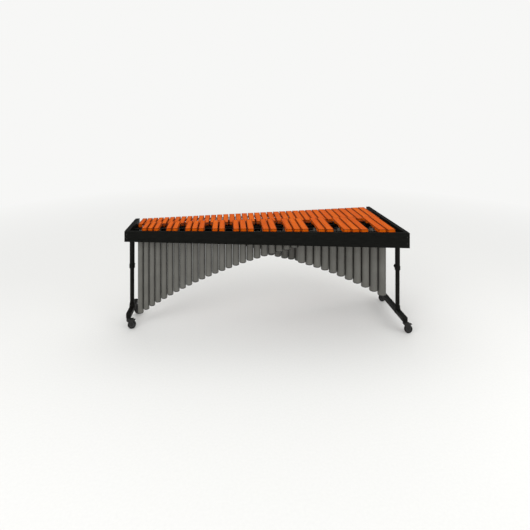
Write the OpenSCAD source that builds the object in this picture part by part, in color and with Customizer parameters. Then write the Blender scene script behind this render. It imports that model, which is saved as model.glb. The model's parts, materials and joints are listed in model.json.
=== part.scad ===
// Five-octave bar percussion keyboard (C2 to C7) on a wheeled, height-adjustable stand.
// +Z is up, +X runs to the bass end, -Y faces the audience and +Y faces the player.
// The origin is on the floor, under the centre of the whole instrument. Units are millimetres.

/* [Keyboard frame] */
// Length of the keyboard frame
frame_len = 2600; // [2540:10:2660]
// Front-to-back depth of the frame at the treble end
depth_high = 450; // [440:5:480]
// Front-to-back depth of the frame at the bass end
depth_low = 1040; // [1020:5:1070]
// Height of the frame's top edge above the floor
frame_top = 938; // [920:2:960]
// Height of the frame boards at the treble end
board_h_high = 98; // [96:1:108]
// Height of the frame boards at the bass end
board_h_low = 140; // [130:1:150]
// Thickness of the front board
board_t = 22; // [18:1:24]
// Thickness of the end boards
end_t = 40; // [38:1:44]

/* [Bars] */
// Pitch of the lowest bar over the pitch of the highest bar
pitch_ratio = 1.55; // [1.5:0.01:1.65]
// Gap between neighbouring bars
bar_gap = 11; // [7.5:0.5:12]
// Thickness of a bar
bar_t = 32; // [26:1:34]
// Length of the highest and the lowest natural bar
nat_len_range = [209, 504]; // [190:1:508]
// Length of the highest and the lowest accidental bar
acc_len_range = [199, 494]; // [180:1:496]
// Depth of the tuned undercut on the highest and the lowest bar
undercut_range = [8, 18]; // [5:1:20]
// Rise of the accidental bars above the natural bars
acc_rise = 23; // [20:1:30]

/* [Resonators] */
// Wall thickness of a resonator tube
tube_wall = 1.5; // [1.2:0.1:2]
// Clear gap between neighbouring tubes
tube_gap = 1.6; // [1.4:0.2:4]
// Height of the treble end tube's foot above the floor, audience bank
arch_foot_high = 120; // [120:1:200]
// Height of the bass end tube's foot above the floor, audience bank
arch_foot_low = 255; // [200:5:300]
// Height of the arch where the audience bank's treble section ends
arch_top_high = 727; // [700:1:745]
// Height of the arch where the audience bank's bass section ends
arch_top_low = 584; // [560:2:620]
// Height of the bass end tube's foot above the floor, player bank
rear_foot_low = 205; // [190:5:260]
// Height of the player bank's last arched tube
rear_top_low = 489; // [460:1:500]
// Length that a player bank's treble tube has beyond its air column
tube_spare = 54; // [40:1:70]

/* [Stand] */
// Radius of the leg's lower post
post_r = 20; // [18:0.5:21]
// Distance of a leg's axis inboard of the end board's outer face
leg_inset = 20; // [19:0.5:21]
// Leg positions front to back: treble end, bass end
leg_y = [-10, -300]; // [-350:5:50]
// Front and rear caster positions at the treble end
foot_y_high = [-150, 128]; // [-200:1:200]
// Front and rear caster positions at the bass end
foot_y_low = [-465, 158]; // [-480:1:300]
// Radius of a caster wheel
wheel_r = 37.5; // [35:0.5:38]
// Trail of a caster wheel behind its swivel axis
trail = 30; // [26:1:32]

/* [Hidden] */
$fn = 48;

// Colours
WOOD = [0.80, 0.34, 0.07];
BLACK = [0.10, 0.10, 0.09];
TUBE_GREY = [0.38, 0.38, 0.36];
STEEL = [0.62, 0.63, 0.65];
DARK_STEEL = [0.20, 0.20, 0.20];
RUBBER = [0.06, 0.06, 0.06];
CORD = [0.12, 0.12, 0.12];

// The two ends of the instrument, used as indexes
HIGH = 0;
LOW = 1;

// Layout along X. The origin is the centre of the whole outline, casters and brake pedals included.
pivot = [trail + 8, 79.5]; // a brake's pivot, from the swivel axis and from the floor
pedal_len = 24;
boss_r = post_r + 7;
reach_low = trail + wheel_r - leg_inset;
reach_high = boss_r - leg_inset;
x_low = frame_len / 2 - (reach_low - reach_high) / 2;
x_high = x_low - frame_len;
LAST = 35;                 // index of the top natural, C7, counted up from C2
end_gap = 28;              // clear space between an end board and the last bar's pitch line
span = frame_len - 2 * end_t - 2 * end_gap;
pitch_high = 2 * span / ((LAST + 1) * (1 + pitch_ratio));
pitch_low = pitch_high * pitch_ratio;

function mix(a, b, t) = a + (b - a) * t;
function along(x) = (x - x_high) / frame_len;
function pitch(i) = mix(pitch_low, pitch_high, i / LAST);
// X of the line between natural k-1 and natural k
function edge(k) = x_low - end_t - end_gap - k * pitch_low + (pitch_low - pitch_high) / LAST * k * (k - 1) / 2;
function centre(i) = (edge(i) + edge(i + 1)) / 2;
function front(x) = -mix(depth_high, depth_low, along(x)) / 2;
function rear(x) = mix(depth_high, depth_low, along(x)) / 2;

// Bars. Row 0 is the accidental row and row 1 the natural row.
ACC = 0;
NAT = 1;
end_clear = [8, 4];        // bar ends to the front board, and to the frame's rear line
function bar_len(row, x) = row == ACC
    ? mix(acc_len_range[0], acc_len_range[1], along(x))
    : mix(nat_len_range[0], nat_len_range[1], along(x));
function bar_y(row, x) = row == ACC
    ? front(x) + board_t + end_clear[0]
    : rear(x) - end_clear[1] - bar_len(NAT, x);
nat_z = frame_top - 2 - bar_t;
bar_z = [nat_z + acc_rise, nat_z];
cord_z = [for (z = bar_z) z + bar_t / 2];
NODAL = 0.224;             // a free bar's still points, as a share of its length from each end

// Sharps stand between naturals i and i + 1, except after E and B.
function has_sharp(i) = i < LAST && i % 7 != 2 && i % 7 != 6;
SEMITONES = [0, 2, 4, 5, 7, 9, 11];
// Notes are numbered in semitones, with C2 as 36 and A4, at 440 Hz, as 69.
function note(i) = 36 + 12 * floor(i / 7) + SEMITONES[i % 7];
SOUND_SPEED = 344000;      // mm/s
function quarter_wave(n) = SOUND_SPEED / (4 * 440 * pow(2, (n - 69) / 12));
END_CORRECTION = 0.61;     // of an open mouth, as a share of the bore's radius

// Rails under the nodal lines, numbered from the audience side: 0 and 1 accidental, 2 and 3 natural
rail_w = 20;
rail_h = 46;
rail_drop = 16;            // bar underside to rail top
function rail_row(r) = r < 2 ? ACC : NAT;
function rail_share(r) = r % 2 == 0 ? NODAL : 1 - NODAL;
function rail_y(r, x) = bar_y(rail_row(r), x) + rail_share(r) * bar_len(rail_row(r), x);
function rail_top(r) = bar_z[rail_row(r)] - rail_drop;
function rail_angle(r) = atan((rail_y(r, x_low) - rail_y(r, x_high)) / frame_len);
rail_x = [x_high + end_t, x_low - end_t];

// Resonators
LOW_SPLIT = 11;            // tubes in each bank's bass section
NAT_SPLIT = 13;
cap_h = 8;
plug_h = 9;                // a cap's plug, inside the tube
stopper_t = 4;
tube_drop = 12;
silent_drop = 40;          // a silent tube's mouth is this much lower
function tube_r(row, i) = (row == ACC ? (pitch(i) + pitch(i + 1)) / 2 : pitch(i)) / 2 - tube_gap / 2;
function tube_x(row, i) = row == ACC ? edge(i + 1) : centre(i);
function tube_count(row) = row == ACC ? LAST : LAST + 1;
function tube_top(row) = bar_z[row] - tube_drop;
function silent(row, i) = row == ACC && !has_sharp(i);
function mouth(row, i) = tube_top(row) - (silent(row, i) ? silent_drop : 0);
function bank_y(row, x) = bar_y(row, x) + bar_len(row, x) / 2;
// The arch climbs steeply at first and then eases off.
ARCH_BEND = 0.37;
function arch(a, b, t) = mix(a, b, (1 + ARCH_BEND) * t - ARCH_BEND * t * t);
function air_column(row, i) =
    quarter_wave(note(i) + (row == ACC ? 1 : 0)) - END_CORRECTION * (tube_r(row, i) - tube_wall);
function tube_foot(row, i) =
    row == ACC
    ? (i < LOW_SPLIT
        ? arch(arch_foot_low, arch_top_low, i / (LOW_SPLIT - 1))
        : arch(arch_foot_high, arch_top_high, (LAST - 1 - i) / (LAST - 1 - LOW_SPLIT)))
    : (i < NAT_SPLIT
        ? arch(rear_foot_low, rear_top_low, i / (NAT_SPLIT - 1))
        : tube_top(NAT) - air_column(NAT, i) - tube_spare);

// Bank strips run along both sides of a bank's tubes, below the rails.
strip_t = 3;
strip_h = 20;
strip_clear = 1.4;
strip_drop = 54;           // tube mouth to strip top
rivet_r = 2;
section_gap = 3;           // from a bank's dividing line to the strips' ends
function line_r(row, x) = mix(tube_r(row, tube_count(row) - 1), tube_r(row, 0),
    (x - tube_x(row, tube_count(row) - 1)) / (tube_x(row, 0) - tube_x(row, tube_count(row) - 1)));
function strip_y(row, side, x) = bank_y(row, x) + side * (line_r(row, x) + strip_clear);
function strip_top(row) = tube_top(row) - strip_drop;
function split_x(row) = row == ACC ? centre(LOW_SPLIT) : edge(NAT_SPLIT);
function section_x(row, low) = low
    ? [split_x(row) + section_gap, tube_x(row, 0) + tube_r(row, 0) + 2]
    : [tube_x(row, tube_count(row) - 1) - tube_r(row, tube_count(row) - 1) - 2, split_x(row) - section_gap];

// Stand
leg_x = [x_high + leg_inset, x_low - leg_inset];
board_h = [board_h_high, board_h_low];
foot_y = [foot_y_high, foot_y_low];
sleeve_wall = 3;
slide_gap = 0.1;
sleeve_r = post_r + slide_gap + sleeve_wall;
boss_len = 8;              // of the clamp screw's boss, beyond the sleeve
sleeve_foot = 520;
flange_t = 6;
flange = [end_t - 2, 120];
post_room = 40;            // free length above the post inside the sleeve
collar_h = 36;
foot_beam = [46, 38];      // width and height
fork_top = 101;
beam_z = fork_top + 3;

// Fasteners and fits
bolt_r = 4;
bolt_head_r = 7.5;
bolt_hex_r = 3.4;          // of the socket in a bolt's head, to its corners
bolt_reach = 36;           // bolt length inside a rail
bolt_seat_r = 9;           // of a bolt head's seat in an end board
head_recess = 8;           // depth of that seat
screw_r = 3;
screw_head_r = 6;
screw_head = [1, 4];       // from the front board's face to the head's two ends
screw_hex_r = 2.6;
screw_reach = 36;          // screw length inside an end board
leg_bolt_y = 44;           // from the leg's axis
leg_bolt_len = 30;
hole_spare = 6;            // a blind hole runs this far past its screw
hole_gap = 0.2;            // round a shank that passes through
slip = 0.05;               // round a pin, a rivet or a thread
touch = 0.02;              // between faces that bear on each other

// ---------- shared shapes ----------

// A prism over the plan region between two lines y0(x) and y1(x), given at its two ends
module plan_prism(x0, x1, ya, yb, z0, z1) {
    translate([0, 0, z0])
        linear_extrude(z1 - z0)
            polygon([[x0, ya[0]], [x1, ya[1]], [x1, yb[1]], [x0, yb[0]]]);
}

module rod_y(r, y0, y1) {
    translate([0, y0, 0]) rotate([-90, 0, 0]) cylinder(r = r, h = y1 - y0);
}

module rod_x(r, x0, x1) {
    translate([x0, 0, 0]) rotate([0, 90, 0]) cylinder(r = r, h = x1 - x0);
}

// A box with a rounded outline in plan, centred on x = 0 and running along Y
module stadium(w, y0, y1, h) {
    translate([-w / 2, y0, 0]) cube([w, y1 - y0, h]);
    for (y = [y0, y1]) translate([0, y, 0]) cylinder(d = w, h = h);
}

// Quarter-round points about c, from angle a0 to a1
function arc_points(c, r, a0, a1, n = 5) =
    [for (k = [0:n]) c + r * [cos(mix(a0, a1, k / n)), sin(mix(a0, a1, k / n))]];

// ---------- keyboard frame ----------

function bolt_z(r) = rail_top(r) - rail_h / 2;

// The front board deepens towards the bass end.
module front_board() {
    color(BLACK)
    difference() {
        intersection() {
            plan_prism(x_high, x_low, [front(x_high), front(x_low)],
                [front(x_high) + board_t, front(x_low) + board_t], frame_top - board_h_low, frame_top);
            translate([0, depth_low, 0]) rotate([90, 0, 0])
                linear_extrude(2 * depth_low)
                    polygon([[x_high, frame_top - board_h_high], [x_low, frame_top - board_h_low],
                        [x_low, frame_top], [x_high, frame_top]]);
        }
        for (p = board_screws()) translate(p) {
            rod_y(screw_r + hole_gap, -50, 50);
            rod_y(screw_head_r + hole_gap, -10, screw_head[1] + 0.1);
        }
    }
}

// Screw positions in the front board: two into each end board
function board_screws() = [for (e = [HIGH, LOW], s = [0.3, 0.7])
    let (x = e == HIGH ? x_high + end_t / 2 : x_low - end_t / 2)
    [x, front(x), frame_top - board_h[e] * s]];

module end_board(e) {
    seam = 0.1;
    x0 = e == HIGH ? x_high : x_low - end_t;
    x1 = x0 + end_t;
    z0 = frame_top - board_h[e];
    inner = e == HIGH ? x1 : x0;
    recess = e == HIGH ? [x0 - 1, x0 + head_recess] : [x1 - head_recess, x1 + 1];
    color(BLACK)
    difference() {
        plan_prism(x0, x1, [front(x0) + board_t + seam, front(x1) + board_t + seam],
            [rear(x0), rear(x1)], z0, frame_top);
        for (r = [0:3]) translate([0, rail_y(r, inner), bolt_z(r)]) {
            rod_x(bolt_r + hole_gap, x0 - 1, x1 + 1);
            rod_x(bolt_seat_r, recess[0], recess[1]);
        }
        for (p = board_screws()) translate(p) rod_y(screw_r, 0, board_t + screw_reach + hole_spare);
        for (s = [-1, 1]) translate([leg_x[e], leg_y[e] + s * leg_bolt_y, z0 - 1])
            cylinder(r = bolt_r, h = leg_bolt_len + hole_spare);
    }
}

module rail(r) {
    color(BLACK)
    difference() {
        plan_prism(rail_x[0], rail_x[1],
            [for (x = rail_x) rail_y(r, x) - rail_w / 2],
            [for (x = rail_x) rail_y(r, x) + rail_w / 2],
            rail_top(r) - rail_h, rail_top(r));
        for (x = rail_x) translate([x, rail_y(r, x), bolt_z(r)])
            rod_x(bolt_r + slip, -bolt_reach - hole_spare, bolt_reach + hole_spare);
    }
}

// A bridge over the gap between two tubes ties each pair of rails, and blocks join the two inner rails.
module rail_ties() {
    tie_w = 8;
    tie_t = 4;
    lug = [tie_w, 5, 24];
    block = 20;
    color(STEEL) {
        for (row = [ACC, NAT]) {
            x = split_x(row);
            r = row * 2;
            z = tube_top(row) + 1.5;
            near = rail_y(r, x) + rail_w / 2 + 0.4;
            far = rail_y(r + 1, x) - rail_w / 2 - 0.4;
            translate([x - tie_w / 2, near, z]) cube([tie_w, far - near, tie_t]);
            for (y = [near, far - lug[1]]) translate([x - tie_w / 2, y, z + tie_t - lug[2]]) cube(lug);
        }
        for (x = [mix(x_high, x_low, 0.12), split_x(NAT) + 60, mix(x_high, x_low, 0.88)])
            plan_prism(x - block, x + block,
                [for (s = [-block, block]) rail_y(1, x + s) + rail_w / 2 + touch],
                [for (s = [-block, block]) rail_y(2, x + s) - rail_w / 2 - touch],
                rail_top(1) - rail_h + 1, rail_top(2) - 1);
    }
}

module socket_screw(shank) {
    head_h = 5;
    translate([0, 0, -shank]) cylinder(r = bolt_r, h = shank);
    difference() {
        cylinder(r = bolt_head_r, h = head_h);
        translate([0, 0, 2]) cylinder(r = bolt_hex_r, h = head_h, $fn = 6);
    }
}

// Socket screws: eight hold the rails in the end boards, and four hold the front board.
module frame_bolts() {
    color(DARK_STEEL) {
        for (e = [HIGH, LOW], r = [0:3]) {
            inner = rail_x[e];
            side = e == HIGH ? -1 : 1;
            translate([inner + side * (end_t - head_recess), rail_y(r, inner), bolt_z(r)])
                rotate([0, side * 90, 0]) socket_screw(end_t - head_recess + bolt_reach);
        }
        for (p = board_screws()) translate(p) {
            rod_y(screw_r - slip, 3, board_t + screw_reach);
            difference() {
                rod_y(screw_head_r, screw_head[0], screw_head[1]);
                rod_y(screw_hex_r, 0, screw_head[1] - 1, $fn = 6);
            }
        }
    }
}

// ---------- bars ----------

cord_hole_r = 3;
chord_share = [0.34, 0.44]; // undercut length over bar length, on the highest and the lowest bar

// A bar runs along Y, is arched underneath, and is drilled along its two nodal lines.
module bar(row, x, w) {
    y0 = bar_y(row, x);
    len = bar_len(row, x);
    cut = mix(undercut_range[0], undercut_range[1], along(x));
    chord = len * mix(chord_share[0], chord_share[1], along(x));
    r = (chord * chord / 4 + cut * cut) / (2 * cut);
    difference() {
        translate([x - w / 2, y0, bar_z[row]]) cube([w, len, bar_t]);
        translate([x, y0 + len / 2, bar_z[row] + cut - r]) rod_x(r, -w, w, $fn = 180);
        for (s = [0, 1])
            let (rail = row * 2 + s)
            translate([x, rail_y(rail, x), cord_z[row]])
                rotate([0, 0, rail_angle(rail)]) rod_x(cord_hole_r, -w, w);
    }
}

module natural_bars(from, to) {
    color(WOOD)
    for (i = [from:to]) bar(NAT, centre(i), pitch(i) - bar_gap);
}

module accidental_bars(from, to) {
    color(WOOD)
    for (i = [from:to]) if (has_sharp(i)) bar(ACC, edge(i + 1), (pitch(i) + pitch(i + 1)) / 2 - bar_gap);
}

// ---------- cord suspension ----------

cord_r = 1.6;
knot_r = 3;
knot_depth = 2.2;          // from a knot's centre to the cord ends inside it
spring_len = 36;
spring_r = 3.2;
spring_wire = 0.9;
post_shank_r = 2.6;
post_foot = [6, 3];        // radius and height
post_tip = 5;              // height above the cord's axis
slot_w = 2 * cord_r + 0.3;
function post_base(row) = rail_top(row * 2) + touch;
// Posts stand between the bars, and beyond the last bar at each end.
function post_xs(row) = row == ACC ? [for (i = [0:LAST - 1]) centre(i)] : [for (k = [0:LAST + 1]) edge(k)];
// The ends of a row's cord runs
function cord_x(row) = [min(post_xs(row)) - 7, max(post_xs(row)) + 7];
function cord_point(r, x) = [x, rail_y(r, x), cord_z[rail_row(r)]];

// A length of cord between two points, trimmed at its ends
module cord_run(a, b, trim_a, trim_b) {
    d = b - a;
    translate(a)
        rotate([0, 0, atan2(d[1], d[0])])
            rod_x(cord_r, trim_a, norm(d) - trim_b);
}

// One cord threads a whole row: out along one nodal line and back along the other.
// At the treble end a spring closes the loop.
module row_cord(row) {
    xs = cord_x(row);
    r = row * 2;
    a = cord_point(r, xs[0]);
    b = cord_point(r, xs[1]);
    c = cord_point(r + 1, xs[1]);
    d = cord_point(r + 1, xs[0]);
    mid = (a + d) / 2;
    hook = [0, spring_len / 2 + 1, 0];
    color(CORD) {
        cord_run(a, b, knot_depth, knot_depth);
        cord_run(b, c, knot_depth, knot_depth);
        cord_run(c, d, knot_depth, knot_depth);
        cord_run(d, mid + hook, knot_depth, 0);
        cord_run(a, mid - hook, knot_depth, 0);
        for (p = [a, b, c, d]) translate(p) sphere(r = knot_r);
    }
}

module cord_springs() {
    color(STEEL)
    for (row = [ACC, NAT]) {
        x = cord_x(row)[0];
        y = (rail_y(row * 2, x) + rail_y(row * 2 + 1, x)) / 2;
        translate([x, y, cord_z[row]]) difference() {
            rod_y(spring_r, -spring_len / 2, spring_len / 2);
            rod_y(spring_r - spring_wire, -spring_len, spring_len);
        }
    }
}

module at_posts(row) {
    for (r = [row * 2, row * 2 + 1], x = post_xs(row))
        translate([x, rail_y(r, x), 0]) rotate([0, 0, rail_angle(r)]) children();
}

// A post has a disc foot on its rail and a fork that holds the cord.
module cord_posts(row) {
    base = post_base(row);
    color(DARK_STEEL)
    at_posts(row) difference() {
        union() {
            translate([0, 0, base]) cylinder(r = post_foot[0], h = post_foot[1]);
            translate([0, 0, base]) cylinder(r = post_shank_r, h = cord_z[row] + post_tip - base);
        }
        translate([-post_shank_r - 1, -slot_w / 2, cord_z[row] - slot_w / 2])
            cube([2 * post_shank_r + 2, slot_w, slot_w + post_tip]);
    }
}

// A rubber sleeve round each post keeps the bars from knocking against it.
module cord_post_sleeves() {
    wall = 1;
    color(RUBBER)
    for (row = [ACC, NAT]) {
        foot = post_base(row) + post_foot[1] + touch;
        at_posts(row) difference() {
            translate([0, 0, foot]) cylinder(r = post_shank_r + wall, h = cord_z[row] - slot_w - foot);
            translate([0, 0, foot - 1]) cylinder(r = post_shank_r + slip, h = cord_z[row] - foot);
        }
    }
}

// ---------- resonators ----------

module at_tube(row, i) {
    x = tube_x(row, i);
    translate([x, bank_y(row, x), 0]) children();
}

module tube(row, i) {
    r = tube_r(row, i);
    foot = tube_foot(row, i) + cap_h;
    rivet_z = strip_top(row) - strip_h / 2;
    at_tube(row, i)
    difference() {
        translate([0, 0, foot]) cylinder(r = r, h = mouth(row, i) - foot);
        translate([0, 0, foot - 1]) cylinder(r = r - tube_wall, h = mouth(row, i) - foot + 2);
        translate([0, 0, rivet_z]) rod_y(rivet_r + slip, -2 * r, 2 * r);
    }
}

module tubes(row, from, to) {
    color(TUBE_GREY)
    for (i = [from:to]) tube(row, i);
}

// A cap with a rounded rim closes the foot, and its plug sits inside the tube.
module tube_caps(row) {
    rim = 6;
    color(BLACK)
    for (i = [0:tube_count(row) - 1]) {
        r = tube_r(row, i);
        plug = r - tube_wall - 0.1;
        at_tube(row, i) translate([0, 0, tube_foot(row, i)])
            rotate_extrude()
                polygon(concat([[0, 0]], arc_points([r - rim, rim], rim, -90, 0),
                    [[r, cap_h], [plug, cap_h], [plug, cap_h + plug_h], [0, cap_h + plug_h]]));
    }
}

// A stopper sets each air column where the tube runs on below it. A silent tube is plugged at its mouth.
module stoppers(row) {
    color(RUBBER)
    for (i = [0:tube_count(row) - 1]) {
        depth = silent(row, i) ? 3 : air_column(row, i);
        room = mouth(row, i) - tube_foot(row, i) - cap_h - plug_h - stopper_t - 2;
        if (depth < room)
            at_tube(row, i) translate([0, 0, mouth(row, i) - depth - stopper_t])
                cylinder(r = tube_r(row, i) - tube_wall - 0.1, h = stopper_t);
    }
}

module bank_strip(row, low, side) {
    xs = section_x(row, low);
    near = [for (x = xs) strip_y(row, side, x)];
    far = [for (y = near) y + side * strip_t];
    difference() {
        plan_prism(xs[0], xs[1], side > 0 ? near : far, side > 0 ? far : near,
            strip_top(row) - strip_h, strip_top(row));
        for (i = [0:tube_count(row) - 1]) {
            x = tube_x(row, i);
            if (x > xs[0] && x < xs[1])
                translate([x, strip_y(row, side, x), strip_top(row) - strip_h / 2])
                    rod_y(rivet_r + slip, -2 * strip_t, 2 * strip_t);
        }
    }
}

module bank_strips(row) {
    color(STEEL)
    for (low = [true, false], side = [-1, 1]) bank_strip(row, low, side);
}

module bank_rivets() {
    color(STEEL)
    for (row = [ACC, NAT], i = [0:tube_count(row) - 1], side = [-1, 1]) {
        x = tube_x(row, i);
        root = bank_y(row, x) + side * (tube_r(row, i) - tube_wall / 2);
        seat = strip_y(row, side, x) + side * (strip_t + 0.35);
        crown = seat + side * 1.6;
        translate([x, 0, strip_top(row) - strip_h / 2]) {
            rod_y(rivet_r, min(root, seat + side), max(root, seat + side));
            rod_y(2 * rivet_r, min(seat, crown), max(seat, crown));
        }
    }
}

// Angle hangers on the rails' inner faces carry the strips from below.
module bank_hangers() {
    w = 24;
    t = 3;
    color(STEEL)
    for (row = [ACC, NAT], low = [true, false], end = [0, 1], side = [-1, 1]) {
        r = row * 2 + (side > 0 ? 1 : 0);
        xs = section_x(row, low);
        x = xs[end] + (end == 0 ? 20 : -20);
        face = rail_y(r, x) - side * (rail_w / 2 + 1.6);
        lip = strip_y(row, side, x) + side * strip_t / 2;
        under = strip_top(row) - strip_h;
        translate([x - w / 2, min(face, face - side * t), under - t - 0.2])
            cube([w, t, rail_top(r) - 8 - under]);
        translate([x - w / 2, min(face, lip), under - t - 0.2]) cube([w, abs(face - lip), t]);
    }
}

// ---------- stand ----------

function board_foot(e) = frame_top - board_h[e];

module at_leg(e) {
    translate([leg_x[e], leg_y[e], 0]) children();
}

// Upper sleeve: a tube under the end board, with a clamp collar at its foot
module leg_sleeve(e) {
    top = board_foot(e);
    boss_y = sleeve_r + boss_len;
    color(BLACK)
    at_leg(e) difference() {
        union() {
            translate([0, 0, sleeve_foot]) cylinder(r = sleeve_r, h = top - sleeve_foot);
            translate([0, 0, sleeve_foot]) cylinder(r = sleeve_r + 3.4, h = collar_h);
            translate([0, 0, sleeve_foot + collar_h / 2]) rod_y(11, 0, boss_y);
            translate([-flange[0] / 2, -flange[1] / 2, top - flange_t]) cube([flange[0], flange[1], flange_t]);
        }
        translate([0, 0, sleeve_foot - 1])
            cylinder(r = post_r + slide_gap, h = top - sleeve_foot - flange_t + 1);
        translate([0, 0, sleeve_foot + collar_h / 2]) rod_y(bolt_r + slip, 0, boss_y + 1);
        for (s = [-1, 1]) translate([0, s * leg_bolt_y, top - flange_t - 1])
            cylinder(r = bolt_r + hole_gap, h = flange_t + 2);
    }
}

module leg_bolts() {
    color(DARK_STEEL)
    for (e = [0, 1], s = [-1, 1])
        at_leg(e) translate([0, s * leg_bolt_y, board_foot(e) - flange_t]) mirror([0, 0, 1]) {
            translate([0, 0, -leg_bolt_len]) cylinder(r = bolt_r - slip, h = leg_bolt_len);
            cylinder(r = bolt_head_r, h = 5, $fn = 6);
        }
}

// Lower post: slides in the sleeve and stands in the foot beam's socket
module leg_post(e) {
    color(BLACK)
    at_leg(e) difference() {
        translate([0, 0, beam_z + 10])
            cylinder(r = post_r, h = board_foot(e) - flange_t - post_room - beam_z - 10);
        translate([0, 0, beam_z + 13]) cylinder(r = post_r - 2.5, h = board_foot(e));
    }
}

// Foot beam with a round weld boss around the post and a stem socket at each end
module foot_beam_part(e) {
    ys = foot_y[e];
    boss_z = beam_z + foot_beam[1];
    color(BLACK)
    difference() {
        union() {
            translate([leg_x[e], 0, beam_z]) stadium(foot_beam[0], ys[0], ys[1], foot_beam[1]);
            at_leg(e) translate([0, 0, boss_z - 1]) cylinder(r1 = boss_r, r2 = post_r + 4, h = 36);
            at_leg(e) translate([0, 0, beam_z]) cylinder(r = boss_r, h = foot_beam[1]);
        }
        at_leg(e) translate([0, 0, beam_z + 9.9]) cylinder(r = post_r + 0.1, h = 100);
        for (y = ys) translate([leg_x[e], y, beam_z - 1]) cylinder(r = stem_r + slide_gap, h = stem_len);
    }
}

// Star knob whose screw presses on the post from the player's side
module clamp_knob(e) {
    knob_r = 18;
    start = post_r + 0.6;
    grip = sleeve_r + boss_len + 3;
    color(BLACK)
    at_leg(e) translate([0, 0, sleeve_foot + collar_h / 2]) {
        rod_y(bolt_r, start, grip + 4);
        difference() {
            union() {
                rod_y(knob_r, grip + 5, grip + 18);
                rod_y(10, grip, grip + 6);
            }
            for (k = [0:5]) rotate([0, k * 60 + 30, 0]) translate([knob_r + 3, 0, 0])
                rod_y(6, grip + 3, grip + 30);
        }
    }
}

// ---------- casters ----------

fork_gap = 15;             // half the clear width between the fork's cheeks
cheek_t = 3;
crown_x = [-16, 44];
crown_z = [85, 90];
wheel_w = 24;
pin_r = 2;                 // of the brake's pivot
axle_r = 4;
axle_boss_r = 11;
axle_head_r = 7;
stem_r = 5.5;
stem_len = 31;

module fork_cheek() {
    difference() {
        union() {
            polygon([[crown_x[0], crown_z[1]], [crown_x[1], crown_z[1]], [crown_x[1], 76],
                [trail + 9, wheel_r], [trail - 9, wheel_r], [crown_x[0], 80]]);
            translate([trail, wheel_r]) circle(r = axle_boss_r);
        }
        translate([trail, wheel_r]) circle(r = axle_r);
        translate(pivot) circle(r = pin_r);
    }
}

// Fork with its stem and crown, the wheel's axle and the brake's pivot pin
module caster_fork() {
    color(DARK_STEEL) {
        union() {
            for (s = [-1, 1]) translate([0, s > 0 ? fork_gap + cheek_t : -fork_gap, 0])
                rotate([90, 0, 0]) linear_extrude(cheek_t) fork_cheek();
            translate([crown_x[0], -fork_gap - cheek_t, crown_z[0]])
                cube([crown_x[1] - crown_x[0], 2 * (fork_gap + cheek_t), crown_z[1] - crown_z[0]]);
            translate([0, 0, crown_z[1] - 1]) cylinder(r = 20, h = fork_top - crown_z[1] + 1);
            translate([0, 0, fork_top - 1]) cylinder(r = stem_r, h = stem_len);
        }
        translate([trail, 0, wheel_r]) {
            rod_y(axle_r - touch, -fork_gap - cheek_t - 3, fork_gap + cheek_t + 3);
            for (s = [-1, 1]) translate([0, s * (fork_gap + cheek_t + 1.55), 0]) rod_y(axle_head_r, -1.5, 1.5);
        }
        translate([pivot[0], 0, pivot[1]])
            rod_y(pin_r - touch, -fork_gap - cheek_t - 1, fork_gap + cheek_t + 1);
    }
}

// Solid wheel: hub, web and a rounded tread
module caster_wheel() {
    edge_r = 5;
    half = wheel_w / 2;
    bore = axle_r + slip;
    color(RUBBER)
    translate([trail, 0, wheel_r]) rotate([90, 0, 0])
        rotate_extrude()
            polygon(concat(
                [[bore, -half - 2], [axle_boss_r, -half - 2], [axle_boss_r + 1, -5],
                    [wheel_r - 12, -5], [wheel_r - 10, -half]],
                arc_points([wheel_r - edge_r, -half + edge_r], edge_r, -90, 0),
                arc_points([wheel_r - edge_r, half - edge_r], edge_r, 0, 90),
                [[wheel_r - 10, half], [wheel_r - 12, 5], [axle_boss_r + 1, 5],
                    [axle_boss_r, half + 2], [bore, half + 2]]));
}

// Brake pedal: pressed down, its shoe meets the tread
module caster_brake() {
    half = 12.5;
    color(DARK_STEEL)
    translate([pivot[0], 0, pivot[1]])
    difference() {
        union() {
            rod_y(3.5, -half, half);
            translate([0, -half, 0.5]) cube([pedal_len, 2 * half, 3]);
            translate([10, -8, -6.4]) cube([8, 16, 8]);
        }
        rod_y(pin_r + slip, -half - 1, half + 1);
    }
}

module at_caster(e, end) {
    translate([leg_x[e], foot_y[e][end], 0]) children();
}

front_board();
end_board(HIGH);  // high_end_board
end_board(LOW);  // low_end_board
rail(0);  // accidental_outer_rail
rail(1);  // accidental_inner_rail
rail(2);  // natural_inner_rail
rail(3);  // natural_outer_rail
rail_ties();
frame_bolts();
natural_bars(0, 6);  // natural_bars_octave_2
natural_bars(7, 13);  // natural_bars_octave_3
natural_bars(14, 20);  // natural_bars_octave_4
natural_bars(21, 27);  // natural_bars_octave_5
natural_bars(28, 35);  // natural_bars_octave_6_and_top_c
accidental_bars(0, 6);  // accidental_bars_octave_2
accidental_bars(7, 13);  // accidental_bars_octave_3
accidental_bars(14, 20);  // accidental_bars_octave_4
accidental_bars(21, 27);  // accidental_bars_octave_5
accidental_bars(28, 34);  // accidental_bars_octave_6
row_cord(NAT);  // natural_cord
row_cord(ACC);  // accidental_cord
cord_springs();
cord_posts(NAT);  // natural_cord_posts
cord_posts(ACC);  // accidental_cord_posts
cord_post_sleeves();
tubes(ACC, 0, LOW_SPLIT - 1);  // accidental_low_tubes
tubes(ACC, LOW_SPLIT, LAST - 1);  // accidental_high_tubes
tubes(NAT, 0, NAT_SPLIT - 1);  // natural_low_tubes
tubes(NAT, NAT_SPLIT, LAST);  // natural_high_tubes
tube_caps(ACC);  // accidental_tube_caps
tube_caps(NAT);  // natural_tube_caps
stoppers(ACC);  // accidental_stoppers
stoppers(NAT);  // natural_stoppers
bank_strips(ACC);  // accidental_bank_strips
bank_strips(NAT);  // natural_bank_strips
bank_rivets();
bank_hangers();
leg_sleeve(LOW);  // low_leg_sleeve
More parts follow.
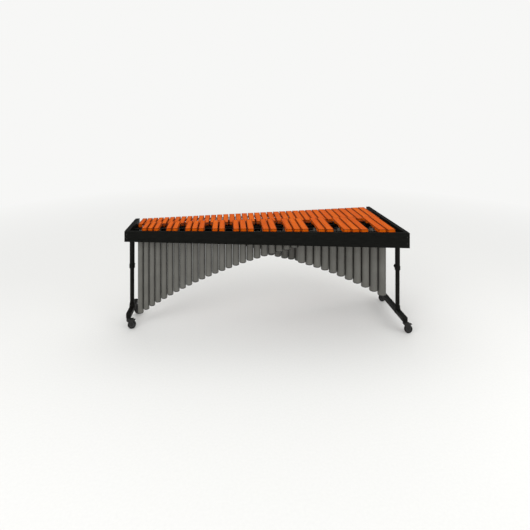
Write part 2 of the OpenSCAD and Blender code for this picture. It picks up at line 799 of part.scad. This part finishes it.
leg_post(LOW);  // low_leg_post
foot_beam_part(LOW);  // low_foot_beam
clamp_knob(LOW);  // low_clamp_knob
leg_sleeve(HIGH);  // high_leg_sleeve
leg_post(HIGH);  // high_leg_post
foot_beam_part(HIGH);  // high_foot_beam
clamp_knob(HIGH);  // high_clamp_knob
leg_bolts();
at_caster(LOW, 0) caster_fork();  // low_front_caster_fork
at_caster(LOW, 0) caster_wheel();  // low_front_caster_wheel
at_caster(LOW, 0) caster_brake();  // low_front_caster_brake
at_caster(LOW, 1) caster_fork();  // low_rear_caster_fork
at_caster(LOW, 1) caster_wheel();  // low_rear_caster_wheel
at_caster(LOW, 1) caster_brake();  // low_rear_caster_brake
at_caster(HIGH, 0) caster_fork();  // high_front_caster_fork
at_caster(HIGH, 0) caster_wheel();  // high_front_caster_wheel
at_caster(HIGH, 0) caster_brake();  // high_front_caster_brake
at_caster(HIGH, 1) caster_fork();  // high_rear_caster_fork
at_caster(HIGH, 1) caster_wheel();  // high_rear_caster_wheel
at_caster(HIGH, 1) caster_brake();  // high_rear_caster_brake
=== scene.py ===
import json
import math

import bmesh
import bpy
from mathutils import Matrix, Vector

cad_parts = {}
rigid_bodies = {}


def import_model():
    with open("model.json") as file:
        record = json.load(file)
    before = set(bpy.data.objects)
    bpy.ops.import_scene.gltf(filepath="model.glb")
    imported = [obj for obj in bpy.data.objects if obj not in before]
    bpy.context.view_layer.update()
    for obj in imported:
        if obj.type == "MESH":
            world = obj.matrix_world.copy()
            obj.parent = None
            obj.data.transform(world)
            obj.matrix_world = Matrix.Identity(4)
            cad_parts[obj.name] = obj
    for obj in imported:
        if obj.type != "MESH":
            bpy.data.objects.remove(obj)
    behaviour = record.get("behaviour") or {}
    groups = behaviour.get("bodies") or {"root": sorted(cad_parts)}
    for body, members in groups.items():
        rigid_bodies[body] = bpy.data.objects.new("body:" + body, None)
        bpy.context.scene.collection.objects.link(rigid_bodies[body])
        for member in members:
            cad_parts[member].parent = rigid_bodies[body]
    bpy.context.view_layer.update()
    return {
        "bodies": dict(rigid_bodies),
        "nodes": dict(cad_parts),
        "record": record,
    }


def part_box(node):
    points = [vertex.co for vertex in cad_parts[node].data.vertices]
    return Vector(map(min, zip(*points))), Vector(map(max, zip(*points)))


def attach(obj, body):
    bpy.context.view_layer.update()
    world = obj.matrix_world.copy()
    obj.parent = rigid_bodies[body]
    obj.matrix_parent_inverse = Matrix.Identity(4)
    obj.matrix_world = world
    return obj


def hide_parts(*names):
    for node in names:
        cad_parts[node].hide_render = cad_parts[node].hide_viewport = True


MM = 0.001
BACKGROUND = (0.93, 0.93, 0.92)
GLOSSY_SHARE = 0.4  # how bright the studio looks in reflections

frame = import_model()
nodes = frame["nodes"]


# ---------- material tools ----------

class Graph:
    """One material's node tree, built with short calls."""

    def __init__(self, name):
        self.material = bpy.data.materials.new(name)
        self.material.use_nodes = True
        self.tree = self.material.node_tree
        self.shader = self.tree.nodes["Principled BSDF"]
        self.place = self.add("TexCoord").outputs["Object"]

    def add(self, kind, inputs=None, **settings):
        """Adds a node. Inputs are constants or other nodes' outputs."""
        node = self.tree.nodes.new("ShaderNode" + kind)
        for key, value in settings.items():
            setattr(node, key, value)
        for key, value in (inputs or {}).items():
            self.put(node.inputs[key], value)
        return node

    def put(self, socket, value):
        if isinstance(value, bpy.types.NodeSocket):
            self.tree.links.new(value, socket)
        else:
            socket.default_value = value

    def finish(self, **inputs):
        """Sets the shader's inputs; an underscore in a name stands for a space."""
        for key, value in inputs.items():
            self.put(self.shader.inputs[key.replace("_", " ")], value)
        return self.material

    def math(self, operation, a, b=0.0, c=0.0):
        return self.add("Math", {0: a, 1: b, 2: c}, operation=operation).outputs[0]

    def stretch(self, scale, vector=None):
        """The place of a point, scaled differently along each axis."""
        source = self.place if vector is None else vector
        return self.add("Mapping", {"Vector": source, "Scale": scale}).outputs[0]

    def noise(self, vector, scale=1.0, detail=2.0, roughness=0.5, distortion=0.0):
        inputs = {"Vector": vector, "Scale": scale, "Detail": detail, "Roughness": roughness,
                  "Distortion": distortion}
        return self.add("TexNoise", inputs).outputs["Fac"]

    def ramp(self, factor, *stops):
        """A colour ramp with a stop for each (position, colour)."""
        node = self.add("ValToRGB", {"Fac": factor})
        elements = node.color_ramp.elements
        while len(elements) < len(stops):
            elements.new(0.5)
        for element, (position, colour) in zip(elements, stops):
            element.position = position
            element.color = (*colour, 1.0)
        return node.outputs["Color"]

    def span(self, factor, low, high, from_low=0.0, from_high=1.0):
        """The factor, remapped to a range."""
        inputs = {"Value": factor, "From Min": from_low, "From Max": from_high, "To Min": low, "To Max": high}
        return self.add("MapRange", inputs).outputs["Result"]

    def mix(self, factor, a, b):
        """Blends two colours. The Mix node's colour sockets are inputs 6 and 7 and output 2."""
        node = self.add("Mix", {0: factor}, data_type="RGBA")
        for socket, value in ((node.inputs[6], a), (node.inputs[7], b)):
            self.put(socket, value if isinstance(value, bpy.types.NodeSocket) else (*value, 1.0))
        return node.outputs[2]

    def tone(self, colour, hue=0.5, value=1.0):
        """The colour with its hue turned, where 0.5 leaves it alone, and its brightness scaled."""
        return self.add("HueSaturation", {"Hue": hue, "Value": value, "Color": colour}).outputs["Color"]

    def bump(self, height, distance):
        return self.add("Bump", {"Height": height, "Distance": distance, "Strength": 1.0}).outputs["Normal"]

    def edge_wear_and_shade(self, colour, shade, reach, share):
        """The colour, moved towards another colour along the outer edges, over a reach in millimetres: rubbed
        wear on the black finishes, painted edge shade on the bars.
        """
        inward = self.add("AmbientOcclusion", {"Distance": reach * MM}, inside=True, samples=6).outputs["AO"]
        edge = self.span(inward, share, 0.0, from_low=0.45, from_high=0.95)
        return self.mix(edge, colour, shade)

    def painted_crease_shade(self, colour, shade, reach):
        """Painted shade: the colour, darkened towards a shade in creases and where parts face each other,
        over a reach in millimetres.
        """
        outward = self.add("AmbientOcclusion", {"Distance": reach * MM}, samples=6).outputs["AO"]
        crease = self.span(outward, 0.85, 0.0, from_low=0.25, from_high=0.75)
        return self.mix(crease, colour, shade)

    def island(self):
        """A random number for each connected piece of mesh: a solid if it is welded, else a CAD face."""
        return self.add("NewGeometry").outputs["Random Per Island"]


# ---------- materials ----------

def bar_wood():
    """Red-orange hardwood under satin lacquer. Its grain runs along the bar and differs from bar to bar."""
    g = Graph("bar_wood")
    dark, middle, light = (0.48, 0.070, 0.0010), (0.61, 0.096, 0.0013), (0.68, 0.112, 0.0018)
    end_dark, end_light = (0.52, 0.080, 0.001), (0.72, 0.122, 0.002)
    pore_shade, painted_edge_shade = (0.26, 0.032, 0.001), (0.030, 0.006, 0.001)
    island = g.island()
    offset_x, offset_y = g.math("MULTIPLY", island, 17.0), g.math("MULTIPLY", island, 31.0)
    offset = g.add("CombineXYZ", {"X": offset_x, "Y": offset_y}).outputs[0]
    place = g.add("VectorMath", {0: g.place, 1: offset}, operation="ADD").outputs[0]
    figure = g.noise(g.stretch((34, 2.2, 34), place), detail=3.0, distortion=0.6)
    streaks = g.noise(g.stretch((210, 5, 210), place), detail=4.0, roughness=0.6)
    pores = g.noise(g.stretch((900, 22, 900), place), detail=2.0)
    grain = g.math("MULTIPLY_ADD", streaks, 0.55, g.math("MULTIPLY", figure, 0.45))
    colour = g.ramp(grain, (0.34, dark), (0.47, middle), (0.60, light))
    pore_mask = g.span(pores, 1.0, 0.0, from_low=0.30, from_high=0.42)
    colour = g.mix(g.math("MULTIPLY", pore_mask, 0.45), colour, pore_shade)
    ends = g.add("SeparateXYZ", {0: g.add("TexCoord").outputs["Normal"]}).outputs["Y"]
    end_mask = g.span(g.math("ABSOLUTE", ends), 0.0, 0.45, from_low=0.8, from_high=0.95)
    rings = g.noise(g.stretch((60, 1, 240), place), detail=3.0)
    colour = g.mix(end_mask, colour, g.ramp(rings, (0.3, end_dark), (0.7, end_light)))
    colour = g.tone(colour, hue=g.span(island, 0.498, 0.502), value=g.span(island, 0.94, 1.05))
    # Painted shade: a dark band along every edge of each bar, standing in for the dark lines between the bars
    # and between the two rows.
    colour = g.edge_wear_and_shade(colour, painted_edge_shade, reach=12.0, share=1.0)
    height = g.math("MULTIPLY_ADD", streaks, 0.4, g.math("MULTIPLY", pore_mask, -1.0))
    return g.finish(Base_Color=colour, Roughness=g.span(streaks, 0.46, 0.60), Specular_IOR_Level=0.04,
                    Normal=g.bump(height, 0.12 * MM))


def black_lacquer():
    """Black lacquer that lets a little of the board's grain through."""
    g = Graph("black_lacquer")
    grain = g.noise(g.stretch((6, 120, 120)), detail=4.0, roughness=0.6)
    smears = g.noise(g.place, scale=7.0, detail=3.0)
    colour = g.ramp(grain, (0.35, (0.0052, 0.0054, 0.0047)), (0.65, (0.0084, 0.0086, 0.0076)))
    colour = g.edge_wear_and_shade(colour, (0.034, 0.030, 0.025), reach=3.0, share=0.35)
    return g.finish(Base_Color=colour, Roughness=g.span(smears, 0.38, 0.54), Specular_IOR_Level=0.03,
                    Normal=g.bump(grain, 0.15 * MM))


def resonator_paint():
    """Satin warm grey paint over drawn tube, with the faint length-wise marks of drawing."""
    g = Graph("resonator_paint")
    island = g.island()
    drawn = g.noise(g.stretch((190, 190, 3)), detail=3.0)
    cloud = g.noise(g.place, scale=9.0, detail=4.0)
    colour = g.ramp(cloud, (0.3, (0.118, 0.1155, 0.104)), (0.7, (0.144, 0.141, 0.128)))
    colour = g.tone(colour, value=g.span(island, 0.94, 1.06))
    # Painted shade: the tubes darken in the creases where neighbouring tubes face each other.
    colour = g.painted_crease_shade(colour, (0.006, 0.006, 0.005), reach=24.0)
    skin = g.noise(g.place, scale=700.0)
    height = g.math("MULTIPLY_ADD", drawn, 0.6, g.math("MULTIPLY", skin, 0.4))
    return g.finish(Base_Color=colour, Metallic=0.12, Roughness=g.span(drawn, 0.40, 0.54),
                    Specular_IOR_Level=0.25, Normal=g.bump(height, 0.10 * MM))


def aluminium():
    """Rolled aluminium with a brushed grain along the instrument."""
    g = Graph("aluminium")
    brushed = g.noise(g.stretch((4, 600, 600)), detail=3.0)
    stains = g.noise(g.place, scale=22.0, detail=3.0)
    colour = g.ramp(stains, (0.3, (0.50, 0.50, 0.50)), (0.7, (0.66, 0.66, 0.67)))
    return g.finish(Base_Color=colour, Metallic=1.0, Roughness=g.span(brushed, 0.28, 0.48),
                    Normal=g.bump(brushed, 0.06 * MM))


def bright_steel():
    """Bright zinc plate with its faint mottling."""
    g = Graph("steel")
    mottle = g.noise(g.place, scale=240.0, detail=3.0)
    haze = g.noise(g.place, scale=30.0, detail=2.0)
    colour = g.ramp(mottle, (0.35, (0.42, 0.43, 0.45)), (0.65, (0.60, 0.61, 0.62)))
    return g.finish(Base_Color=colour, Metallic=1.0, Roughness=g.span(haze, 0.22, 0.42),
                    Normal=g.bump(mottle, 0.05 * MM))


def dark_plate():
    """Dark zinc-nickel plate, rubbed brighter on its edges."""
    g = Graph("dark_steel")
    mottle = g.noise(g.place, scale=260.0, detail=3.0)
    haze = g.noise(g.place, scale=45.0, detail=3.0)
    colour = g.ramp(mottle, (0.35, (0.018, 0.018, 0.018)), (0.65, (0.034, 0.033, 0.032)))
    colour = g.edge_wear_and_shade(colour, (0.13, 0.13, 0.12), reach=1.2, share=0.5)
    return g.finish(Base_Color=colour, Metallic=0.55, Roughness=g.span(haze, 0.34, 0.52),
                    Specular_IOR_Level=0.3, Normal=g.bump(mottle, 0.06 * MM))


def black_oxide():
    """Oiled black oxide on machined screws: nearly black, with brownish patches."""
    g = Graph("black_oxide")
    patches = g.noise(g.place, scale=180.0, detail=4.0)
    colour = g.ramp(patches, (0.35, (0.008, 0.008, 0.008)), (0.7, (0.020, 0.017, 0.014)))
    return g.finish(Base_Color=colour, Metallic=0.4, Roughness=g.span(patches, 0.28, 0.46),
                    Specular_IOR_Level=0.35, Normal=g.bump(patches, 0.04 * MM))


def powder_coat():
    """Black powder coat: a fine orange-peel skin, rubbed lighter on its edges."""
    g = Graph("black_powder_coat")
    peel = g.noise(g.place, scale=850.0, detail=2.0)
    dust = g.noise(g.place, scale=14.0, detail=4.0)
    colour = g.ramp(dust, (0.35, (0.0040, 0.0038, 0.0032)), (0.75, (0.0085, 0.0080, 0.0068)))
    colour = g.edge_wear_and_shade(colour, (0.040, 0.038, 0.034), reach=2.0, share=0.35)
    return g.finish(Base_Color=colour, Roughness=g.span(dust, 0.44, 0.60), Specular_IOR_Level=0.10,
                    Normal=g.bump(peel, 0.14 * MM))


def black_plastic():
    """Moulded plastic with a spark-eroded texture."""
    g = Graph("black_plastic")
    texture = g.noise(g.place, scale=1300.0, detail=1.0)
    wear = g.noise(g.place, scale=40.0, detail=3.0)
    colour = g.ramp(wear, (0.3, (0.012, 0.012, 0.013)), (0.7, (0.022, 0.022, 0.022)))
    return g.finish(Base_Color=colour, Roughness=g.span(wear, 0.45, 0.60), Specular_IOR_Level=0.25,
                    Normal=g.bump(texture, 0.10 * MM))


def caster_wheel():
    """Black tread, scuffed where it runs on the floor, round a dark nylon hub."""
    g = Graph("tread_rubber")
    hub_radius = 0.36  # as a share of the wheel's width and height
    in_box = g.add("TexCoord").outputs["Generated"]
    from_axle = g.add("VectorMath", {0: in_box, 1: (0.5, 0.5, 0.5)}, operation="SUBTRACT").outputs[0]
    flat = g.add("VectorMath", {0: from_axle, 1: (1.0, 0.0, 1.0)}, operation="MULTIPLY").outputs[0]
    radius = g.add("VectorMath", {0: flat}, operation="LENGTH").outputs["Value"]
    tread = g.span(radius, 0.0, 1.0, from_low=hub_radius - 0.005, from_high=hub_radius + 0.005)
    scuffs = g.noise(g.place, scale=90.0, detail=4.0, roughness=0.7)
    skin = g.noise(g.place, scale=600.0, detail=2.0)
    rubber = g.ramp(scuffs, (0.40, (0.0075, 0.0075, 0.0072)), (0.72, (0.024, 0.023, 0.022)))
    nylon = g.ramp(skin, (0.35, (0.040, 0.040, 0.041)), (0.65, (0.056, 0.056, 0.057)))
    colour = g.mix(tread, nylon, rubber)
    return g.finish(Base_Color=colour, Roughness=g.span(scuffs, 0.55, 0.80), Specular_IOR_Level=0.25,
                    Normal=g.bump(skin, 0.12 * MM))


def braided_cord():
    """Two sets of strands that cross round the cord."""
    g = Graph("cord")
    left, right = [
        g.add("TexWave", {"Vector": g.stretch((1, turn, turn)), "Scale": 160.0}, bands_direction="DIAGONAL")
        for turn in (1.0, -1.0)
    ]
    strands = g.math("MAXIMUM", left.outputs["Fac"], right.outputs["Fac"])
    colour = g.ramp(strands, (0.2, (0.006, 0.006, 0.006)), (0.8, (0.032, 0.031, 0.030)))
    return g.finish(Base_Color=colour, Roughness=0.85, Normal=g.bump(strands, 0.3 * MM))


SLOTS = {
    "bar_wood": bar_wood(),
    "black_lacquer": black_lacquer(),
    "resonator_paint": resonator_paint(),
    "aluminium": aluminium(),
    "cord": braided_cord(),
    "black_powder_coat": powder_coat(),
    "black_plastic": black_plastic(),
    "dark_steel": dark_plate(),
    "black_oxide": black_oxide(),
    "tread_rubber": caster_wheel(),
    "steel": bright_steel(),
}


# ---------- finishing the CAD nodes ----------

def set_material(obj, material):
    obj.data.materials.clear()
    obj.data.materials.append(material)


# Edge rounding by material slot, in millimetres. The other slots hold turned and drawn parts, which keep
# their packed normals.
ROUNDING = {
    "bar_wood": 1.6,
    "black_lacquer": 1.5,
    "black_powder_coat": 0.6,
    "black_plastic": 1.0,
    "dark_steel": 0.4,
    "black_oxide": 0.3,
    "aluminium": 0.3,
}


WELD_DISTANCE = 0.005 * MM
SHARP_ANGLE = math.radians(35)


def round_edges(obj, width):
    """Joins the faces that the import split, then rounds the sharp edges."""
    weld = obj.modifiers.new("weld", "WELD")
    weld.merge_threshold = WELD_DISTANCE
    bevel = obj.modifiers.new("round", "BEVEL")
    bevel.width = width * MM
    bevel.segments = 2
    bevel.limit_method = "ANGLE"
    bevel.angle_limit = SHARP_ANGLE
    bevel.harden_normals = True
    bevel.use_clamp_overlap = True


def finish_nodes():
    for part in frame["record"]["subparts"]:
        obj = nodes[part["node"]]
        slot = part["material_slot"]
        set_material(obj, SLOTS[slot])
        if slot in ROUNDING:
            round_edges(obj, ROUNDING[slot])


finish_nodes()


# ---------- coil springs ----------

WIRE_RADIUS = 0.45 * MM
STUB = 1.2 * MM  # straight wire beyond each end of a coil


def tube_mesh(name, path, radius, sides=8):
    """A round wire along a path of points, closed at both ends."""
    bm = bmesh.new()
    angles = [math.tau * k / sides for k in range(sides)]
    rings = []
    side = None
    for index, point in enumerate(path):
        ahead = path[min(index + 1, len(path) - 1)] - path[max(index - 1, 0)]
        ahead.normalize()
        if side is None:
            side = ahead.orthogonal()
        side = (side - ahead * side.dot(ahead)).normalized()
        other = ahead.cross(side)
        rings.append([bm.verts.new(point + radius * (math.cos(a) * side + math.sin(a) * other))
                      for a in angles])
    for first, second in zip(rings, rings[1:]):
        for k in range(sides):
            bm.faces.new((first[k], first[k - 1], second[k - 1], second[k]))
    bm.faces.new(rings[0])
    bm.faces.new(reversed(rings[-1]))
    bmesh.ops.recalc_face_normals(bm, faces=bm.faces)
    mesh = bpy.data.meshes.new(name)
    bm.to_mesh(mesh)
    bm.free()
    mesh.shade_smooth()
    return mesh


def coil_path(low, high, turns=22, steps=20, hook=0.07):
    """A helix that fills a box along Y. Each end curls in to the axis over the hook's share of the length,
    then runs out straight."""
    centre = (low + high) / 2
    coil_radius = (high.x - low.x) / 2 - WIRE_RADIUS
    length = high.y - low.y
    count = turns * steps
    path = [Vector((centre.x, low.y - STUB, centre.z))]
    for k in range(count + 1):
        t = k / count
        curl = min(1.0, t / hook, (1 - t) / hook)
        angle = math.tau * turns * t
        radius = coil_radius * math.sin(curl * math.pi / 2)
        path.append(Vector((centre.x + radius * math.cos(angle), low.y + length * t,
                            centre.z + radius * math.sin(angle))))
    path.append(Vector((centre.x, high.y + STUB, centre.z)))
    return path


def add_springs():
    """A wound spring closes each row's cord loop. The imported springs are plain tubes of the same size."""
    points = [vertex.co for vertex in nodes["cord_springs"].data.vertices]
    middle = (min(p.z for p in points) + max(p.z for p in points)) / 2
    packed = {
        "natural_spring_coil": [p for p in points if p.z < middle],
        "accidental_spring_coil": [p for p in points if p.z >= middle],
    }
    for name, chosen in packed.items():
        low = Vector([min(p[axis] for p in chosen) for axis in range(3)])
        high = Vector([max(p[axis] for p in chosen) for axis in range(3)])
        mesh = tube_mesh(name, coil_path(low, high), WIRE_RADIUS)
        spring = bpy.data.objects.new(name, mesh)
        bpy.context.scene.collection.objects.link(spring)
        set_material(spring, SLOTS["steel"])
        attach(spring, "frame")
        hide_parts("cord_springs")


add_springs()


# ---------- floor, light and camera ----------

FLOOR_RADIUS = 60.0
HAZE_FROM, HAZE_TO = 2.2, 7.5  # metres from the middle of the floor
LIGHT_TARGET = Vector((0.0, 0.0, 0.6))
FOCAL_LENGTH = 26.93
CAMERA_SIDE = -0.346  # from the middle of the keyboard
CAMERA_BACK, CAMERA_HEIGHT = -3.989, 2.021
CAMERA_TURN = math.radians(-5.31)
CAMERA_SHIFT = -0.285


def stage_material():
    """Pale floor that fades into the background's colour far away, and is seen through from below."""
    g = Graph("pale_floor")
    radius = g.add("VectorMath", {0: g.place}, operation="LENGTH").outputs["Value"]
    far = g.span(radius, 0.0, 1.0, from_low=HAZE_FROM, from_high=HAZE_TO)
    speckle = g.noise(g.place, scale=60.0, detail=3.0)
    colour = g.ramp(speckle, (0.3, (0.79, 0.79, 0.78)), (0.7, (0.81, 0.81, 0.80)))
    g.finish(Base_Color=colour, Roughness=0.9, Specular_IOR_Level=0.1)
    haze = g.add("Emission", {"Color": (*BACKGROUND, 1.0), "Strength": 1.0})
    clear = g.add("BsdfTransparent")
    faded = g.add("MixShader", {0: far, 1: g.shader.outputs[0], 2: haze.outputs[0]})
    under = g.add("NewGeometry").outputs["Backfacing"]
    both = g.add("MixShader", {0: under, 1: faded.outputs[0], 2: clear.outputs[0]})
    output = g.tree.nodes["Material Output"]
    g.tree.links.new(both.outputs[0], output.inputs["Surface"])
    return g.material


def watch(driver, name, obj, channel):
    """Gives a driver one world-space channel of an object as a named variable."""
    variable = driver.variables.new()
    variable.name = name
    variable.type = "TRANSFORMS"
    variable.targets[0].id = obj
    variable.targets[0].transform_type = channel
    variable.targets[0].transform_space = "WORLD_SPACE"


def add_floor():
    """The floor stays under the feet of the longer leg when the legs slide."""
    mesh = bpy.data.meshes.new("floor")
    bm = bmesh.new()
    bmesh.ops.create_circle(bm, cap_ends=True, radius=FLOOR_RADIUS, segments=96)
    bm.to_mesh(mesh)
    bm.free()
    floor = bpy.data.objects.new("floor", mesh)
    bpy.context.scene.collection.objects.link(floor)
    set_material(floor, stage_material())
    legs = ("low_leg", "high_leg")
    height = floor.driver_add("location", 2).driver
    for leg in legs:
        watch(height, leg, frame["bodies"][leg], "LOC_Z")
    height.expression = f"min({', '.join(legs)})"


def add_area_light(name, place, size, power):
    """A rectangular light that faces the middle of the instrument."""
    data = bpy.data.lights.new(name, "AREA")
    data.shape = "RECTANGLE"
    data.size, data.size_y = size
    data.energy = power
    light = bpy.data.objects.new(name, data)
    light.location = place
    light.rotation_euler = (LIGHT_TARGET - light.location).to_track_quat("-Z", "Y").to_euler()
    bpy.context.scene.collection.objects.link(light)


def add_lights():
    """An even studio, darker in reflections, and three soft area lights."""
    world = bpy.data.worlds.new("studio")
    world.use_nodes = True
    tree = world.node_tree
    background = tree.nodes["Background"]
    background.inputs["Color"].default_value = (*BACKGROUND, 1.0)
    ray = tree.nodes.new("ShaderNodeLightPath")
    strength = tree.nodes.new("ShaderNodeMapRange")
    strength.inputs["To Min"].default_value = 1.0
    strength.inputs["To Max"].default_value = GLOSSY_SHARE
    tree.links.new(ray.outputs["Is Glossy Ray"], strength.inputs["Value"])
    tree.links.new(strength.outputs["Result"], background.inputs["Strength"])
    bpy.context.scene.world = world
    add_area_light("key", place=(-2.6, -3.4, 3.6), size=(2.4, 2.4), power=55.0)
    add_area_light("fill", place=(3.4, -2.8, 2.2), size=(2.6, 2.0), power=38.0)
    add_area_light("top", place=(0.0, 1.2, 4.0), size=(3.5, 1.6), power=18.0)


def add_camera():
    """A level camera with a lens shift keeps the instrument's uprights parallel."""
    data = bpy.data.cameras.new("camera")
    camera = bpy.data.objects.new("camera", data)
    bpy.context.scene.collection.objects.link(camera)
    data.sensor_width = 36.0
    data.lens = FOCAL_LENGTH
    middle = (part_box("high_end_board")[0].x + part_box("low_end_board")[1].x) / 2
    camera.location = (middle + CAMERA_SIDE, CAMERA_BACK, CAMERA_HEIGHT)
    camera.rotation_euler = (math.radians(90.0), 0.0, CAMERA_TURN)
    hold_shift(camera, CAMERA_SHIFT)
    bpy.context.scene.camera = camera


def hold_shift(camera, shift):
    """Sets the lens shift, which belongs to this viewpoint alone and goes when the camera moves elsewhere."""
    camera.data.shift_y = shift
    driver = camera.data.driver_add("shift_y").driver
    watch(driver, "place", camera, "LOC_Y")
    driver.expression = f"{shift} if abs(place - {camera.location.y:.4f}) < 0.001 else 0.0"


add_floor()
add_lights()
add_camera()
bpy.context.scene.view_settings.view_transform = "Standard"
